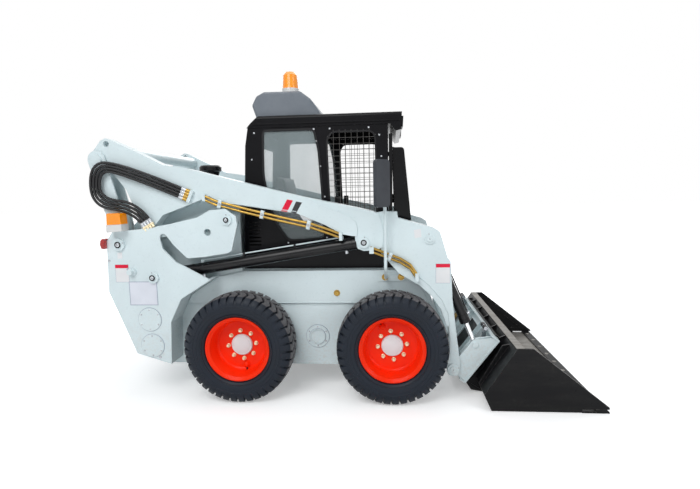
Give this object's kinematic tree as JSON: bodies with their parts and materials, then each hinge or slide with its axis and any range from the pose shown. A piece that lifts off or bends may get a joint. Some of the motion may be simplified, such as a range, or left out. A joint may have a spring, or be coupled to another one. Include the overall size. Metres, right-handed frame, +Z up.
{
  "type": "skid steer loader",
  "caption": "Wheeled skid steer loader with an enclosed cab, vertical-lift arms, hydraulic cylinders and a dirt bucket on a quick-attach frame.",
  "frame": {"origin": "on the ground, midway between the sides and midway along the overall length", "axes": "+X towards the bucket, +Y to the machine's left, +Z up"},
  "size_m": [3.488, 1.724, 2.3423],
  "materials": {
    "amber_lens": "gloss",
    "black_paint": "satin",
    "black_plastic": "matte",
    "body_paint": "gloss",
    "bucket_paint": "satin",
    "cab_paint": "gloss",
    "chrome_rod": "mirror",
    "clear_glass": "gloss",
    "cylinder_paint": "gloss",
    "engine_iron": "matte",
    "gold_pipe": "satin",
    "hose_rubber": "matte",
    "hub_paint": "gloss",
    "lamp_lens": "gloss",
    "pod_plastic": "satin",
    "red_lens": "gloss",
    "rim_paint": "gloss",
    "seat_vinyl": "satin",
    "tyre": "matte",
    "white_plastic": "satin",
    "zinc": "satin"
  },
  "bodies": {
    "chassis": {"main_frame": "body_paint", "axle_tubes": "body_paint", "inspection_covers": "body_paint", "uprights": "body_paint", "engine_block": "engine_iron", "engine_hood": "body_paint", "exhaust_stack": "black_paint", "cab_frame": "cab_paint", "cab_roof": "cab_paint", "cab_glass": "clear_glass", "side_guards": "cab_paint", "seat_base": "black_plastic", "seat_cushion": "seat_vinyl", "consoles": "black_plastic", "aircon_pod": "pod_plastic", "front_lamps": "lamp_lens", "beacons": "amber_lens", "beacon_bases": "white_plastic", "tail_lights": "red_lens", "mirror_arms": "body_paint", "mirrors": "black_plastic", "hoses_lower": "hose_rubber"},
    "wheel_front_right": {"tyre_front_right": "tyre", "rim_front_right": "rim_paint", "hub_front_right": "hub_paint"},
    "wheel_front_left": {"tyre_front_left": "tyre", "rim_front_left": "rim_paint", "hub_front_left": "hub_paint"},
    "wheel_rear_right": {"tyre_rear_right": "tyre", "rim_rear_right": "rim_paint", "hub_rear_right": "hub_paint"},
    "wheel_rear_left": {"tyre_rear_left": "tyre", "rim_rear_left": "rim_paint", "hub_rear_left": "hub_paint"},
    "rear_link": {"rear_links": "body_paint"},
    "control_link": {"control_links": "body_paint"},
    "lift_arm": {"lift_arms": "body_paint", "arm_crossbars": "body_paint", "arm_pipes": "gold_pipe", "pipe_brackets": "body_paint", "hoses_upper": "hose_rubber"},
    "lift_barrel": {"lift_barrels": "cylinder_paint", "lift_pipes": "gold_pipe"},
    "lift_rod": {"lift_rods": "chrome_rod"},
    "tilt_barrel": {"tilt_barrels": "cylinder_paint"},
    "tilt_rod": {"tilt_rods": "chrome_rod"},
    "quick_attach": {"quick_attach": "body_paint", "latch_levers": "zinc", "bucket": "bucket_paint", "cutting_edge": "bucket_paint"},
    "rear_door": {"rear_door": "body_paint"},
    "cab_door": {"cab_door": "cab_paint", "door_glass": "clear_glass"}
  },
  "joints": [
    {"name": "wheel_front_right_spin", "type": "hinge", "parent": "chassis", "child": "wheel_front_right", "pos_m": [0.36, -0.703, 0.384], "axis": [0, 1, 0], "continuous": true},
    {"name": "wheel_front_left_spin", "type": "hinge", "parent": "chassis", "child": "wheel_front_left", "pos_m": [0.36, 0.703, 0.384], "axis": [0, 1, 0], "continuous": true},
    {"name": "wheel_rear_right_spin", "type": "hinge", "parent": "chassis", "child": "wheel_rear_right", "pos_m": [-0.708, -0.703, 0.384], "axis": [0, 1, 0], "continuous": true},
    {"name": "wheel_rear_left_spin", "type": "hinge", "parent": "chassis", "child": "wheel_rear_left", "pos_m": [-0.708, 0.703, 0.384], "axis": [0, 1, 0], "continuous": true},
    {"name": "rear_link_swing", "type": "hinge", "parent": "chassis", "child": "rear_link", "pos_m": [-1.547, 0, 1.115], "axis": [0, -1, 0], "range_deg": [0, 23.22], "deforming": ["hoses_lower"]},
    {"name": "arm_lift", "type": "hinge", "parent": "rear_link", "child": "lift_arm", "pos_m": [-1.682, 0, 1.71], "axis": [0, -1, 0], "range_deg": [0, 31.8], "deforming": ["hoses_upper"]},
    {"name": "control_link_swing", "type": "hinge", "parent": "chassis", "child": "control_link", "pos_m": [-0.761, 0, 1.277], "axis": [0, -1, 0], "range_deg": [-37.8, 0]},
    {"name": "lift_barrel_swing", "type": "hinge", "parent": "chassis", "child": "lift_barrel", "pos_m": [-1.311, 0, 0.879], "axis": [0, -1, 0], "range_deg": [0, 54.47]},
    {"name": "lift_rod_slide", "type": "slide", "parent": "lift_barrel", "child": "lift_rod", "axis": [0.9887, 0, 0.1498], "range_m": [0, 0.6321]},
    {"name": "bucket_tilt", "type": "hinge", "parent": "lift_arm", "child": "quick_attach", "pos_m": [0.78, 0, 0.21], "axis": [0, -1, 0], "range_deg": [-96, 25]},
    {"name": "tilt_barrel_swing", "type": "hinge", "parent": "lift_arm", "child": "tilt_barrel", "pos_m": [0.62, 0, 1.123], "axis": [0, -1, 0], "range_deg": [-6.8, 1.8]},
    {"name": "tilt_rod_slide", "type": "slide", "parent": "tilt_barrel", "child": "tilt_rod", "axis": [0.3894, 0, -0.9211], "range_m": [-0.0841, 0.3204]},
    {"name": "rear_door_swing", "type": "hinge", "parent": "chassis", "child": "rear_door", "pos_m": [-1.652, 0.533, 0.75], "axis": [0, 0, -1], "range_deg": [0, 100]},
    {"name": "cab_door_swing", "type": "hinge", "parent": "chassis", "child": "cab_door", "pos_m": [0.39, 0.445, 1.39], "axis": [0, 0, 1], "range_deg": [0, 70]}
  ],
  "couplings": [
    {"joint": "rear_link_swing", "follows": "arm_lift", "ratio": 0.72967},
    {"joint": "control_link_swing", "follows": "arm_lift", "ratio": -1.1884},
    {"joint": "lift_barrel_swing", "follows": "arm_lift", "ratio": 1.7125},
    {"joint": "lift_rod_slide", "follows": "arm_lift", "m_per_rad": 1.1386},
    {"joint": "tilt_barrel_swing", "follows": "bucket_tilt", "ratio": 0.07},
    {"joint": "tilt_rod_slide", "follows": "bucket_tilt", "m_per_rad": -0.19069}
  ]
}
